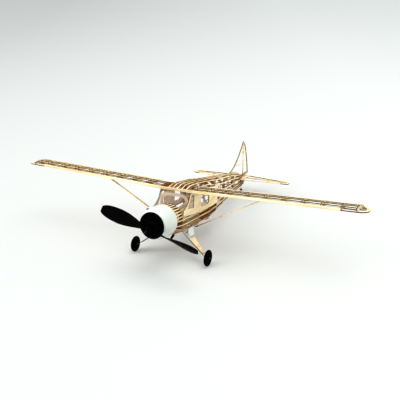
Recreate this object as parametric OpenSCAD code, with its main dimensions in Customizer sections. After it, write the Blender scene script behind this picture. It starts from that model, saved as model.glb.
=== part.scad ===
// Rubber-powered flying model of a high-wing, round-nosed bush aircraft, as its bare
// laser-cut and strip-wood frame. It is drawn level, x to port, y aft and z up, with the
// cowl's centre line on the y axis, and then tipped back on to its three wheels. Millimetres.

/* [Wing] */
// Wing span from tip to tip
span = 762; // [744:2:780]
// Wing chord
chord = 82; // [80:1:84]
// Wing thickness as a part of the chord
thickness = 0.115; // [0.11:0.005:0.13]
// Evenly spaced ribs in each panel, root rib included
rib_count = 9; // [8:1:10]
// Dihedral of each panel, in degrees
dihedral = 1.8; // [1:0.1:3]
// Nose-up setting of the wing on the fuselage, in degrees
incidence = 4.3; // [4:0.1:4.6]

/* [Wood] */
// Thickness of the laser-cut sheet
sheet = 1.6; // [1.4:0.1:1.8]
// Side of the square strip wood in the fuselage
strip = 2; // [1.8:0.1:2.2]
// Thickness of the flat tail surfaces
tail_sheet = 2; // [1.6:0.2:2.4]

/* [Nose] */
// Outer radius of the cowl at its rear rim
cowl_r = 32; // [32:0.2:33]
// Radius of the cowl's front opening
mouth_r = 25.2; // [25:0.1:25.6]
// Length of the cowl
cowl_len = 42; // [40:1:43]
// Cylinders on the dummy engine
cylinders = 9; // [7:1:9]
// Propeller radius
prop_r = 108; // [100:1:110]
// Widest blade chord
blade_chord = 28.5; // [22:0.5:30]
// Pitch of the propeller as a part of its diameter
pitch_ratio = 1.47; // [1:0.01:1.6]
// Downward tilt of the propeller shaft, in degrees
thrust_down = 6; // [5.8:0.1:6.2]

/* [Landing gear] */
// Main wheel radius
wheel_r = 16.6; // [15:0.2:18]
// Main wheel width at the tread
wheel_w = 5; // [4:0.5:6]
// Half the distance between the main wheels
half_track = 84; // [82:1:88]
// Tail wheel radius
tail_wheel_r = 5.5; // [5:0.25:6]
// Music wire radius of the main legs
wire_r = 0.6; // [0.5:0.05:0.65]

/* [Hidden] */

wood = "burlywood";
laser_wood = "peru";
$fn = 64;
gap = 0.1;                  // glue gap between fitted pieces
eps = 0.01;

// Fuselage sections: each table gives a value at a distance aft of the cowl's front
HALF_WIDTH = [[44, 30.6], [47, 30.7], [66, 32.5], [92, 33], [190, 33], [226, 30.5], [270, 26],
    [314, 21], [358, 16], [396, 12], [436, 7]];
TOP_Z = [[44, 30.6], [47, 30.6], [66, 29.5], [92, 44.6], [99, 51], [118, 57], [140, 57], [190, 52.5], [226, 49],
    [270, 44.5], [314, 40], [358, 34], [396, 26], [422, 15.3], [436, 10.8]];
BELLY_Z = [[44, -30.6], [47, -30.7], [66, -33], [92, -34], [190, -34], [226, -31], [270, -25.5], [314, -20],
    [358, -15], [396, -11], [436, -8]];
WAIST_Z = [[44, 0], [190, 0], [270, 2], [436, 5]];
TOP_POWER = [[47, 2], [66, 2.3], [92, 5], [190, 5], [226, 3.4], [270, 2.8], [436, 2.4]];
BELLY_POWER = [[47, 2], [66, 2.8], [92, 4.5], [190, 4.5], [226, 3.4], [270, 2.8], [436, 2.4]];

engine_y = 15;
nose_y = 44;
cowl_rim_y = 47;            // the strips run parallel to the cowl's wall up to here
screen_y = 66;
roof_y = 92;
cabin_y = 140;
wing_rear_y = 190;
rear_y = [226, 270, 314, 358, 396];
tail_y = 436;
all_former_y = concat([nose_y, screen_y, roof_y, cabin_y, wing_rear_y], rear_y, [tail_y]);

// Strips laid along the fuselage: how the place on the section is given, its value there,
// and the distances aft at which the strip starts and ends
NOSE_STRIPS = [for (a = [90, 78.75, 67.5, 56.25, 45, 33.75, 22.5, 11.25, -32])
    ["angle", a, nose_y, screen_y]];
ROOF_STRIPS = [["top", 0, 99.8, 422], ["top", 0.3, 99.8, 396], ["top", 0.6, 99.8, 417],
    ["top", 0.86, 99.8, 396]];
SIDE_STRIPS = [["side", 0.34, 226, 396], ["side", 0, nose_y, tail_y], ["side", -0.33, nose_y, tail_y],
    ["side", -0.72, nose_y, tail_y]];
BELLY_STRIPS = [["belly", 0.5, nose_y, tail_y]];
ALL_STRIPS = concat(NOSE_STRIPS, ROOF_STRIPS, SIDE_STRIPS, BELLY_STRIPS);
bend_y = [nose_y, cowl_rim_y, screen_y, roof_y, 99.8, 118, cabin_y, wing_rear_y, 226, 270, 314, 358,
    396, 417, 422, tail_y];

// Cabin
side_x = lookup(roof_y, HALF_WIDTH) + 0.05;
keel_depth = 4.5;
floor_z = -8;
ring_w = 5;

// Wing
root_x = side_x + sheet + 0.15;
wing_y = 96;
wing_z = 48.3;
panel = span / 2 - root_x;
tip_len = 49;
bay = (panel - tip_len) / (rib_count - 1);
le_depth = 3.5;
le_height = 5;
te_width = 12;
spar = 2.4;
main_spar_y = 0.27 * chord;
// Strips let into the tops of the ribs, from the nose of the wing aft
top_spar_y = [0.13 * chord, main_spar_y, 0.45 * chord, 0.62 * chord];
top_spar_h = spar - 0.6;
tip_front = 19;

// Thrust line, the motor and its peg
thrust_z = -4.2;
peg_along = 259;
peg_r = 2.8;
peg_bore_r = 2.2;
plug_r = 9;
key = 12.6;
hook_y = 56;
hook_r = 4;
shaft_r = 0.8;
winding_r = 0.5;            // the shaft's free end is ground down for the winder
prop_along = -9;            // the blades' pitch axis
hub_front = -14.5;
hub_back = -5;
boss_front = -16.7;
winding_back = -17.5;
shaft_front = -26.5;

// Undercarriage
axle_y = 79;
axle_z = -73.3;
leg_top = [22, 86, -31];
tail_axle_y = 434;
tail_axle_z = -24;
wheel_run = 0.06;           // running clearance of each wheel on its axle
tail_wire_r = 0.5;
bend_swell = 1.12;          // a wire is this much thicker at a bend

// Tipping back on to the wheels: the ground line touches the main and the tail wheels
wheel_dy = tail_axle_y - axle_y;
wheel_dz = tail_axle_z - axle_z;
stance_angle = atan2(wheel_dz, wheel_dy)
    + asin((wheel_r - tail_wheel_r) / norm([wheel_dy, wheel_dz]));
row_y = -220.4;
row_z = axle_y * sin(stance_angle) - axle_z * cos(stance_angle) + wheel_r;

module stance() translate([0, row_y, row_z]) rotate([-stance_angle, 0, 0]) children();
module thrust_frame() translate([0, 0, thrust_z]) rotate([thrust_down, 0, 0]) children();
module both_sides() { children(); mirror([1, 0, 0]) children(); }
module on_side(side) mirror([side < 0 ? 1 : 0, 0, 0]) children();
module rod_x(r, x0, x1) translate([x0, 0, 0]) rotate([0, 90, 0]) cylinder(r = r, h = x1 - x0);
module rod_y(r, y0, y1) translate([0, y0, 0]) rotate([-90, 0, 0]) cylinder(r = r, h = y1 - y0);
module rod_between(a, b, r) {
    d = b - a;
    translate(a) rotate([0, acos(d.z / norm(d)), atan2(d.y, d.x)]) cylinder(r = r, h = norm(d));
}
// A flat piece drawn as (y, z) with its starboard face at x0
module plate_x(x0, t) translate([x0, 0, 0]) rotate([90, 0, 90]) linear_extrude(t) children();
// A flat piece drawn as (x, z), centred on y0
module plate_y(y0, t) translate([0, y0 + t / 2, 0]) rotate([90, 0, 0]) linear_extrude(t) children();

function unit(v) = v / norm(v);
function bezier(a, b, c, d, n) = [for (i = [0:n]) let (t = i / n, s = 1 - t)
    a * s * s * s + b * 3 * s * s * t + c * 3 * s * t * t + d * t * t * t];
function arc(c, rx, ry, a0, a1, n) = [for (i = [0:n]) let (a = a0 + (a1 - a0) * i / n)
    [c.x + rx * cos(a), c.y + ry * sin(a)]];
// A closed anticlockwise outline moved inwards by d
function inset(p, d) = [for (i = [0:len(p) - 1]) let (
    u = unit(p[i] - p[(i + len(p) - 1) % len(p)]), v = unit(p[(i + 1) % len(p)] - p[i]),
    m = [-u.y - v.y, u.x + v.x]) p[i] + m * d * 2 / (m * m)];

// ---- Fuselage sections ----
function half_w(y) = lookup(y, HALF_WIDTH);
function waist(y) = lookup(y, WAIST_Z);
function height(y, up) = up ? lookup(y, TOP_Z) - waist(y) : waist(y) - lookup(y, BELLY_Z);
function power(y, up) = lookup(y, up ? TOP_POWER : BELLY_POWER);
function signed_pow(v, p) = sign(v) * pow(abs(v), p);
function on_angle(y, a) = let (up = a >= 0, e = 2 / power(y, up))
    [half_w(y) * signed_pow(cos(a), e), waist(y) + height(y, up) * signed_pow(sin(a), e)];
function on_fraction(y, f, up) = let (n = power(y, up), k = pow(1 - pow(abs(f), n), 1 / n))
    [half_w(y) * f, waist(y) + (up ? 1 : -1) * height(y, up) * k];
function on_side_line(y, g) = let (up = g >= 0, n = power(y, up))
    [half_w(y) * pow(1 - pow(abs(g), n), 1 / n), waist(y) + height(y, up) * g];
function skin(y, kind, v) = kind == "angle" ? on_angle(y, v)
    : kind == "top" ? on_fraction(y, v, true)
    : kind == "belly" ? on_fraction(y, v, false) : on_side_line(y, v);
// Direction of the outward normal at a point of the section
function normal_angle(y, p) = let (up = p.y >= waist(y), n = power(y, up))
    atan2(signed_pow((p.y - waist(y)) / height(y, up), n - 1) / height(y, up),
        signed_pow(p.x / half_w(y), n - 1) / half_w(y));
function section(y, inset_d) = [for (a = [0:7.5:359]) let (up = a <= 180, e = 2 / power(y, up))
    [(half_w(y) - inset_d) * signed_pow(cos(a), e),
     waist(y) + (height(y, up) - inset_d) * signed_pow(sin(a), e)]];

module strip_notches(y) {
    for (s = ALL_STRIPS, side = [1, -1])
        if (y >= s[2] && y <= s[3]) {
            p = skin(y, s[0], s[1]);
            a = normal_angle(y, p);
            mirror([side < 0 ? 1 : 0, 0]) translate(p) rotate(a)
                translate([-strip - 0.3, -strip / 2 - 0.25]) square([strip + 3, strip + 0.5]);
        }
}
// A ring former: solid below web_z, notched for every strip and for the keel
module former(y, ring, web_z = -99) {
    color(laser_wood) stance() plate_y(y, sheet) difference() {
        polygon(section(y, 0));
        intersection() {
            polygon(section(y, ring));
            translate([-50, web_z]) square([100, 200]);
        }
        strip_notches(y);
        translate([-sheet / 2 - gap, lookup(y, BELLY_Z) - 1]) square([sheet + 2 * gap, keel_depth + 1.2]);
    }
}
module engine_former() color(laser_wood) stance() difference() {
    rod_y(cowl_r - 2.8, engine_y - 1.2, engine_y + 1.2);
    thrust_frame() translate([-key / 2 - gap, 0, -key / 2 - gap])
        cube([key + 2 * gap, 40, key + 2 * gap]);
}
module nose_former() former(nose_y, 8);
module windscreen_former() former(screen_y, 7, floor_z);
module roof_front_former() former(roof_y, 6, floor_z);
module cabin_former() former(cabin_y, 6, floor_z);
module wing_rear_former() former(wing_rear_y, 6, floor_z);
module rear_former_1() former(rear_y[0], ring_w + 1, -12);
module rear_former_2() former(rear_y[1], ring_w + 0.5);
module rear_former_3() former(rear_y[2], ring_w);
module rear_former_4() former(rear_y[3], ring_w);
module rear_former_5() former(rear_y[4], ring_w - 0.5);
module tail_former() color(laser_wood) stance() plate_y(tail_y, sheet) difference() {
    polygon(section(tail_y, strip));
    translate([-sheet / 2 - gap, lookup(tail_y, BELLY_Z) - 1]) square([sheet + 2 * gap, keel_depth + 1.2]);
}

module bottom_keel() color(laser_wood) stance() plate_x(-sheet / 2, sheet)
    polygon(concat([for (y = all_former_y) [y, lookup(y, BELLY_Z)]],
        [for (i = [len(all_former_y) - 1:-1:0]) let (y = all_former_y[i])
            [y, lookup(y, BELLY_Z) + keel_depth]]));

// Strips: each ring is a square whose outer face lies on the skin
function strip_ring(y, s, side) = let (p = skin(y, s[0], s[1]), q = [p.x * side, p.y],
    a = normal_angle(y, q), n = [cos(a), sin(a)], t = [-n.y, n.x] * strip / 2)
    [for (c = [q - t, q + t, q + t - n * strip, q - t - n * strip]) [c.x, y, c.y]];
module laid_strip(s, side) {
    ys = concat([s[2]], [for (y = bend_y) if (y > s[2] && y < s[3]) y], [s[3]]);
    n = len(ys) - 1;
    polyhedron(
        points = [for (y = ys) each strip_ring(y, s, side)],
        faces = concat([[3, 2, 1, 0]], [[4 * n, 4 * n + 1, 4 * n + 2, 4 * n + 3]],
            [for (i = [0:n - 1], k = [0:3], half = [0, 1]) let (a = 4 * i + k, b = 4 * i + (k + 1) % 4)
                half == 0 ? [a, b, b + 4] : [a, b + 4, a + 4]]));
}
module laid_strips(list, sides) color(wood) stance() for (s = list, side = sides)
    if (side > 0 || s[1] != 0 || s[0] == "side") if (!(s[0] == "angle" && s[1] == 90 && side < 0))
        laid_strip(s, side);
module nose_stringers() laid_strips(NOSE_STRIPS, [1, -1]);
module roof_stringers() laid_strips(ROOF_STRIPS, [1, -1]);
module side_stringers_port() laid_strips(SIDE_STRIPS, [1]);
module side_stringers_starboard() laid_strips(SIDE_STRIPS, [-1]);
module belly_stringers() laid_strips(BELLY_STRIPS, [1, -1]);

module cabin_floor() color(laser_wood) stance() for (i = [1:4]) {
    y0 = all_former_y[i] + sheet / 2;
    y1 = all_former_y[i + 1] - sheet / 2;
    w = half_w(y1) - strip - 1.5;
    translate([-w, y0, floor_z]) cube([2 * w, y1 - y0, sheet]);
}

// ---- Cabin sides, glazing, windscreen ----
function wing_under(y) = wing_z - (y - wing_y) * tan(incidence) - 0.3;
SIDE_OUTLINE = [[66, 8.5], [80, 5.5], [cabin_y, -1], [226, -0.5], [226, wing_under(226) + 1],
    [190, wing_under(190)], [95, wing_under(95)], [87, 32], [76, 22.5], [66, 17.5]];
FRONT_WINDOW = [[84, 19], [108, 15], [110, 17], [110, wing_under(110) - 5], [100, wing_under(100) - 5]];
REAR_WINDOW = concat([[140.8, wing_under(140) - 5], [140.8, 12.5], [143, 10.5], [168, 8.5]],
    bezier([172, 8.5], [182, 9], [183, 24], [172, wing_under(172) - 5], 6));
module side_panel() difference() {
    plate_x(side_x, sheet) polygon(SIDE_OUTLINE);
    plate_x(side_x - 1, sheet + 2) polygon(FRONT_WINDOW);
    plate_x(side_x - 1, sheet + 2) polygon(REAR_WINDOW);
}
// Ahead of the wing's rear former the side is flat, and behind it turns in with the fuselage
module cabin_side(side) color(laser_wood) stance() on_side(side) {
    turn = atan2(half_w(wing_rear_y) - half_w(rear_y[0]), rear_y[0] - wing_rear_y);
    intersection() {
        side_panel();
        translate([0, 0, -50]) cube([60, wing_rear_y, 150]);
    }
    translate([side_x, wing_rear_y, 0]) rotate([0, 0, turn]) translate([-side_x, -wing_rear_y, 0])
        intersection() {
            side_panel();
            translate([0, wing_rear_y + gap, -50]) cube([60, 60, 150]);
        }
}
module cabin_side_port() cabin_side(1);
module cabin_side_starboard() cabin_side(-1);
window_middle = [156, 24];
module side_windows() color("lightcyan", 0.4) stance() both_sides() {
    plate_x(side_x + 0.6, 0.4) polygon(inset(FRONT_WINDOW, 0.15));
    plate_x(side_x + 0.6, 0.4)
        polygon([for (p = REAR_WINDOW) window_middle + (p - window_middle) * 0.985]);
}
// The windscreen is a ruled shell from the front of the cabin's decking to the wing's roof line
screen_t = 0.5;
screen_steps = 16;
function screen_low(f, d) = let (p = on_fraction(screen_y, f, true), q = [31.9 * f, max(p.y, 18)])
    [q.x * (1 - d / 32), screen_y + 1 + d * 0.7, q.y + 0.4];
function screen_high(f, d) = [32.4 * f * (1 - d / 32), 94.2 - 2.4 * f * f + d * 0.7,
    47.4 - 5 * pow(abs(f), 4)];
module windscreen() color("lightcyan", 0.4) stance() {
    n = screen_steps;
    f = [for (i = [0:n]) 2 * i / n - 1];
    polyhedron(
        points = concat([for (v = f) screen_low(v, 0)], [for (v = f) screen_high(v, 0)],
            [for (v = f) screen_high(v, screen_t * 1.6)], [for (v = f) screen_low(v, screen_t * 1.6)]),
        faces = concat(
            [for (r = [0:3], i = [0:n - 1], half = [0, 1])
                let (a = r * (n + 1) + i, b = ((r + 1) % 4) * (n + 1) + i)
                half == 0 ? [a, b + 1, a + 1] : [a, b, b + 1]],
            [[0, 3 * (n + 1), 2 * (n + 1), n + 1]],
            [[n, 2 * n + 1, 3 * n + 2, 4 * n + 3]]));
}

// ---- Cowl and dummy engine ----
// Outside of the cowl: an ellipse from the front lip to the widest part, then straight
cowl_wall = 1;
cowl_shoulder = 30;
module cowl() color("white") stance() rotate([-90, 0, 0]) rotate_extrude() polygon(concat(
    [[cowl_r, cowl_len + 4], [cowl_r - cowl_wall, cowl_len + 4], [cowl_r - cowl_wall, cowl_shoulder]],
    arc([mouth_r - cowl_wall + 1.2, cowl_shoulder], cowl_r - mouth_r - 1.2, cowl_shoulder - 7, 0, -90, 10),
    [[mouth_r - 0.2, 7], [mouth_r - 0.2, 5.4], [mouth_r + 0.4, 4.8]],
    arc([mouth_r + 0.4, cowl_shoulder], cowl_r - mouth_r - 0.4, cowl_shoulder - 4.8, -86, 0, 14)));
scoop_angle = 130;
module intake_scoop() color("white") stance() rotate([0, -scoop_angle, 0]) translate([cowl_r, 0, 0])
    difference() {
        union() {
            rotate([-90, 0, 0]) translate([0, 0, 22]) cylinder(r = 3.6, h = 12);
            translate([0, 34, 0]) rotate([-90, 0, 0]) cylinder(r1 = 3.6, r2 = 0.8, h = 12, $fn = 48);
        }
        rod_y(2.8, 21, 31);
        translate([-cowl_r, 0, 0]) rod_y(cowl_r + 0.02, 10, 60);
    }
module dummy_engine() color([0.09, 0.09, 0.1]) stance() difference() {
    union() {
        difference() {
            union() {
                rod_y(mouth_r - 0.3, 3, 13.6);
                rod_y(mouth_r + 1.4, 2.6, 4.7);
            }
            rod_y(mouth_r - 1.6, 0, 11.2);
        }
        thrust_frame() rod_y(12.5, 1, 13);
        for (i = [0:cylinders - 1]) rotate([0, 90 + 360 / cylinders * i, 0]) {
            translate([0, 8, 0]) rod_x(4.1, 12.05, mouth_r - 1.2);
        }
    }
    thrust_frame() rod_y(plug_r + 0.3, -20, 40);
    translate([0, 13.7, 0]) rod_y(40, 0, 30);
}
pipe = [[11, 72, -28], [11, 69, -35.4], [12.5, 59, -38.5]];
pipe_r = 2.5;
module exhaust_stub() color([0.1, 0.1, 0.1]) stance() difference() {
    union() {
        rod_between(pipe[0], pipe[1], pipe_r - 0.2);
        rod_between(pipe[1], pipe[2], pipe_r);
        translate(pipe[1]) sphere(r = pipe_r * 1.04);
    }
    rod_between(pipe[1] + (pipe[2] - pipe[1]) * 0.4, pipe[2] + unit(pipe[2] - pipe[1]), pipe_r - 0.7);
}

// ---- Wing ----
function camber_z(y) = let (u = y / chord) chord * 10 * thickness
    * (0.2969 * sqrt(u) - 0.1260 * u - 0.3516 * u * u + 0.2843 * u * u * u - 0.1015 * u * u * u * u);
module wing_frame(side) stance() on_side(side) translate([root_x, wing_y, wing_z])
    rotate([0, -dihedral, 0]) rotate([-incidence, 0, 0]) children();
// A rib from behind the leading edge to y1, lapping on to the trailing edge sheet
module rib_shape(y1) {
    y0 = le_depth + gap;
    top_end = min(y1, 0.93 * chord);
    difference() {
        polygon(concat([for (i = [0:16]) let (y = y0 + (top_end - y0) * i / 16) [y, camber_z(y)]],
            [[top_end, 0], [y0, 0]]));
        translate([chord - te_width - gap, -1]) square([te_width + 1, sheet + gap + 1]);
        translate([main_spar_y - gap, -1]) square([spar + 2 * gap, spar * 0.8 + 1 + gap]);
        for (y = top_spar_y) translate([y - gap, camber_z(y) - spar]) square([spar + 2 * gap, spar + 2]);
    }
}
module wing_ribs(side) color(laser_wood) wing_frame(side) {
    for (i = [0:rib_count - 1]) plate_x(i * bay, sheet) rib_shape(chord);
    // The short rib inside the tip
    plate_x(panel - 0.42 * tip_len, sheet) difference() {
        rib_shape(chord - te_width - 11.5);
        translate([-1, -1]) square([tip_front - 1, tail_sheet + gap + 1]);
    }
}
module wing_ribs_port() wing_ribs(1);
module wing_ribs_starboard() wing_ribs(-1);
spar_len = panel - 0.42 * tip_len;
module leading_edge(side) color(wood) wing_frame(side) rotate([90, 0, 90])
    linear_extrude(panel - tip_len + sheet) polygon(concat([[le_depth, 0], [le_depth, le_height]],
        arc([1.6, le_height - 1.8], 1.6, 1.8, 90, 180, 4), arc([1.2, 1.2], 1.2, 1.2, 180, 270, 4)));
module leading_edge_port() leading_edge(1);
module leading_edge_starboard() leading_edge(-1);
module trailing_edge(side) color(laser_wood) wing_frame(side)
    translate([0, chord - te_width, 0]) cube([panel - tip_len + sheet, te_width, sheet]);
module trailing_edge_port() trailing_edge(1);
module trailing_edge_starboard() trailing_edge(-1);
module wing_spars(side) color(laser_wood) wing_frame(side) {
    translate([0, main_spar_y, 0]) cube([spar_len, spar, spar * 0.8]);
    for (y = top_spar_y) translate([0, y, camber_z(y) - spar + gap]) cube([spar_len, spar, top_spar_h]);
}
module wing_spars_port() wing_spars(1);
module wing_spars_starboard() wing_spars(-1);
// The tip: a small front radius and a long rear curve, cut from sheet
tip_x = panel - tip_len + sheet + gap;
tip_rib_x = panel - 0.42 * tip_len;
tip_band = 6;
function tip_outline(d) = concat([[tip_x, 0.6 + d]],
    arc([panel - 18, tip_front], 18 - d, tip_front - 0.6 - d, -90, 0, 7),
    arc([panel - tip_len, tip_front], tip_len - d, chord - tip_front - d, 8, 86, 12),
    [[tip_x, chord - d]]);
module wing_tip(side) color(laser_wood) wing_frame(side) {
    difference() {
        linear_extrude(tail_sheet) polygon(tip_outline(0));
        translate([0, 0, -1]) linear_extrude(5) difference() {
            polygon(concat([[tip_x - 9, tip_band + 0.6]], tip_outline(tip_band),
                [[tip_x - 9, chord - tip_band]]));
            translate([tip_x - 10, chord - te_width]) square([13, te_width]);
        }
        translate([tip_rib_x - gap, tip_front - 2, -1]) cube([sheet + 2 * gap, 30, 5]);
    }
    // Diagonal braces from the short rib to the rim
    for (y0 = [27, 44]) translate([tip_rib_x + sheet + 1.7, y0, 0]) rotate([0, 0, 30])
        cube([11 - (y0 - 27) * 0.2, 3, tail_sheet]);
}
module wing_tip_port() wing_tip(1);
module wing_tip_starboard() wing_tip(-1);
// Strips that carry the wing across the cabin
module centre_spars() color(wood) stance() {
    half = root_x - gap;
    translate([-half, wing_y, wing_z]) cube([2 * half, le_depth, le_height - 0.4]);
    translate([-half, wing_y + main_spar_y, wing_z - main_spar_y * tan(incidence)])
        cube([2 * half, spar, spar * 0.8]);
    translate([-half, wing_y + chord - te_width, wing_z - (chord - te_width) * tan(incidence)])
        cube([2 * half, te_width - 4, sheet]);
}

// ---- Struts ----
strut_foot = [31.5, 127, -30];
strut_head = [root_x + 3.86 * bay, 119, 50.4];
module wing_struts() color(wood) stance() both_sides() {
    d = strut_head - strut_foot;
    translate(strut_foot) rotate([0, 0, atan2(d.y, d.x)]) rotate([0, acos(d.z / norm(d)), 0])
        translate([0, 0, 7]) linear_extrude(norm(d) - 7.5) polygon(concat(
            arc([0, 0], 1.1, 3, 0, 345, 23)));
}
module strut_pins() color([0.15, 0.12, 0.1]) stance() both_sides() {
    d = unit(strut_head - strut_foot);
    rod_between(strut_foot + d * 1.5, strut_foot + d * 6.9, 1.3);
    rod_between(strut_foot - [3.2, 0, 0], strut_foot + d * 1.5, 0.7);
}

// ---- Tail ----
tailplane_z = 11;
half_tail = 125.5;
tail_root_x = 15;
TAIL_OUTLINE = concat([[tail_root_x + gap, 399.5], [half_tail - 14, 415]],
    arc([half_tail - 9, 424], 9, 9, -70, 0, 5),
    arc([half_tail - 13, 431], 12.5, 10, 10, 80, 6), [[tail_root_x + gap, 456]]);
tail_spar_y = 428;
tail_rib_x = [37, 70, 103];
tail_te = 6;
module flat_tail() stance() translate([0, 0, tailplane_z]) children();
module tailplane_outline() color(laser_wood) flat_tail() both_sides() linear_extrude(tail_sheet) difference() {
    polygon(TAIL_OUTLINE);
    polygon(inset(TAIL_OUTLINE, tail_te));
    translate([0, 380]) square([half_tail - 17, 48]);
    translate([0, 427]) square([tail_root_x + tail_te + 1, 22.5]);
    translate([half_tail - 30, tail_spar_y - gap]) square([25.5, spar + 2 * gap]);
}
module tailplane_edges_and_ribs() color(wood) flat_tail() both_sides() {
    slope = atan2(415 - 399.5, half_tail - 14 - tail_root_x);
    translate([tail_root_x + gap, 399.5, 0]) rotate([0, 0, slope])
        cube([(half_tail - 17 - tail_root_x) / cos(slope) - 1, 3, tail_sheet]);
    translate([tail_root_x + gap, tail_spar_y, 0]) cube([half_tail - 5 - tail_root_x, spar, tail_sheet]);
    for (x = tail_rib_x) {
        front = 399.5 + 3.3 + (x + sheet - tail_root_x) * tan(slope);
        back = 456 - tail_te - 0.4 - (x + sheet - tail_root_x) * 0.152;
        translate([x, front, 0]) cube([sheet, tail_spar_y - gap - front, tail_sheet]);
        translate([x, tail_spar_y + spar + gap, 0]) cube([sheet, back - tail_spar_y - spar - gap, tail_sheet]);
    }
}
module tailplane_centre_sheet() color(wood) flat_tail()
    translate([-tail_root_x, 397.2, 0]) cube([2 * tail_root_x, 456 - 397.2, tail_sheet]);

FIN_LE = bezier([358, 34.6], [386, 40], [416, 72], [434, 98], 9);
FIN_TE = bezier([437, 100], [449, 101], [464, 62], [472, 16.2], 9);
FIN_OUTLINE = concat([[441, 14.4]], [[472, 14.4]], [for (i = [len(FIN_TE) - 1:-1:0]) FIN_TE[i]],
    [for (i = [len(FIN_LE) - 1:-1:0]) FIN_LE[i]], [[396, 26.6], [422, 16.2], [430, 13.4], [441, 13.4]]);
fin_band = 4;
FIN_POST = [[438.6, 13.3], [441.4, 13.3], [437.2, 95], [434.4, 95]];
FIN_RIBS = [[[395, 46.6], [462, 43.2]], [[415, 74], [452, 71.6]]];
module fin_profile() {
    difference() {
        polygon(FIN_OUTLINE);
        polygon(inset([for (i = [0:len(FIN_OUTLINE) - 1]) if (i != 1) FIN_OUTLINE[i]], fin_band));
    }
}
module fin_outline() color(laser_wood) stance() plate_x(-tail_sheet / 2, tail_sheet) difference() {
    fin_profile();
    polygon(inset(FIN_POST, -gap));
}
module fin_post_and_ribs() color(wood) stance() {
    plate_x(-tail_sheet / 2, tail_sheet) polygon(FIN_POST);
    plate_x(-sheet / 2, sheet) difference() {
        intersection() {
            polygon(inset([for (i = [0:len(FIN_OUTLINE) - 1]) if (i != 1) FIN_OUTLINE[i]], fin_band + gap));
            for (r = FIN_RIBS) translate(r[0] - [30, 0.8 - 30 * 0.05]) rotate(-2.9) square([120, 1.6]);
        }
        polygon(inset(FIN_POST, -gap));
    }
}

// ---- Landing gear ----
module gear_wires() color("dimgray") stance() both_sides() {
    rod_between(leg_top, leg_bottom, wire_r);
    translate(leg_bottom) sphere(r = wire_r * bend_swell);
    translate([0, axle_y, axle_z]) rod_x(wire_r, leg_bottom.x, half_track + 5.5);
}
// A tapered wooden fairing behind each leg wire, drawn as (along the leg, aft)
leg_bottom = [half_track - 6, axle_y, axle_z];
cuff_along = 20;            // the moulded cuff reaches this far down the leg
fairing_end = 60;
module leg_fairings() color(wood) stance() both_sides() {
    d = leg_bottom - leg_top;
    front = wire_r + 0.15;
    translate(leg_top) rotate([0, atan2(-d.z, d.x), 0]) rotate([0, 0, atan2(d.y, norm([d.x, d.z]))])
        translate([0, 0, -1]) linear_extrude(2) polygon([[cuff_along + 0.3, front], [fairing_end, front],
            [fairing_end + 2, 2], [fairing_end + 2, 8], [fairing_end, 9.5], [cuff_along + 0.3, 21]]);
}
// A moulded cuff over the root of each leg, outside the corner of the fuselage
module cuff_end(at, r) translate(at) rotate([0, 130, 0]) cylinder(r = r, h = 1, $fn = 32);
module gear_cuffs() color("white") stance() both_sides() difference() {
    hull() {
        cuff_end([28, 96.5, -29], 7.5);
        cuff_end([28, 108, -29], 7.5);
        cuff_end([38, 92.5, -39], 4);
        cuff_end([38, 100, -39], 4);
    }
    translate([-1, 0, -34.4]) cube([34.4, 300, 300]);
    rod_between(leg_top, leg_bottom, wire_r + gap);
}
module wheel(r, w, hub_r, bore) rotate([0, 90, 0]) difference() {
    rotate_extrude() polygon(concat([[0.3, -w / 2 - 0.8], [hub_r, -w / 2 - 0.8], [hub_r + 0.8, -w * 0.28],
        [r * 0.66, -w * 0.28]], arc([r * 0.82, 0], r * 0.18, w / 2, -110, 110, 16),
        [[r * 0.66, w * 0.28], [hub_r + 0.8, w * 0.28], [hub_r, w / 2 + 0.8], [0.3, w / 2 + 0.8]]));
    translate([0, 0, -20]) cylinder(r = bore, h = 40);
}
module main_wheel(side) color([0.07, 0.07, 0.07]) stance() translate([side * half_track, axle_y, axle_z])
    wheel(wheel_r, wheel_w, 3, wire_r + wheel_run);
module wheel_port() main_wheel(1);
module wheel_starboard() main_wheel(-1);
module wheel_retainers() color("dimgray") stance() both_sides() translate([0, axle_y, axle_z])
    difference() {
        rod_x(1.6, half_track + wheel_w / 2 + 0.95, half_track + wheel_w / 2 + 2.4);
        rod_x(wire_r + eps, 0, 200);
    }
tail_fork_x = 3;
module tail_wheel_wire() color("dimgray") stance() {
    axle = [0, tail_axle_y, tail_axle_z];
    translate(axle) rod_x(tail_wire_r, -tail_fork_x, tail_fork_x - 0.2);
    rod_between(axle - [tail_fork_x, 0, 0], [-tail_fork_x, 440, -14], tail_wire_r);
    translate(axle - [tail_fork_x, 0, 0]) sphere(r = tail_wire_r * bend_swell);
    rod_between([-tail_fork_x, 440, -14], [-0.2, 441, -8.6], tail_wire_r);
    translate([-tail_fork_x, 440, -14]) sphere(r = tail_wire_r * bend_swell);
    rod_between([-0.2, 441, -8.6], [-0.2, 441, 3], tail_wire_r);
    translate([-0.2, 441, -8.6]) sphere(r = tail_wire_r * bend_swell);
}
module tail_wheel() color([0.07, 0.07, 0.07]) stance() translate([0, tail_axle_y, tail_axle_z])
    wheel(tail_wheel_r, 2.8, 1.4, tail_wire_r + wheel_run);

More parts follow.
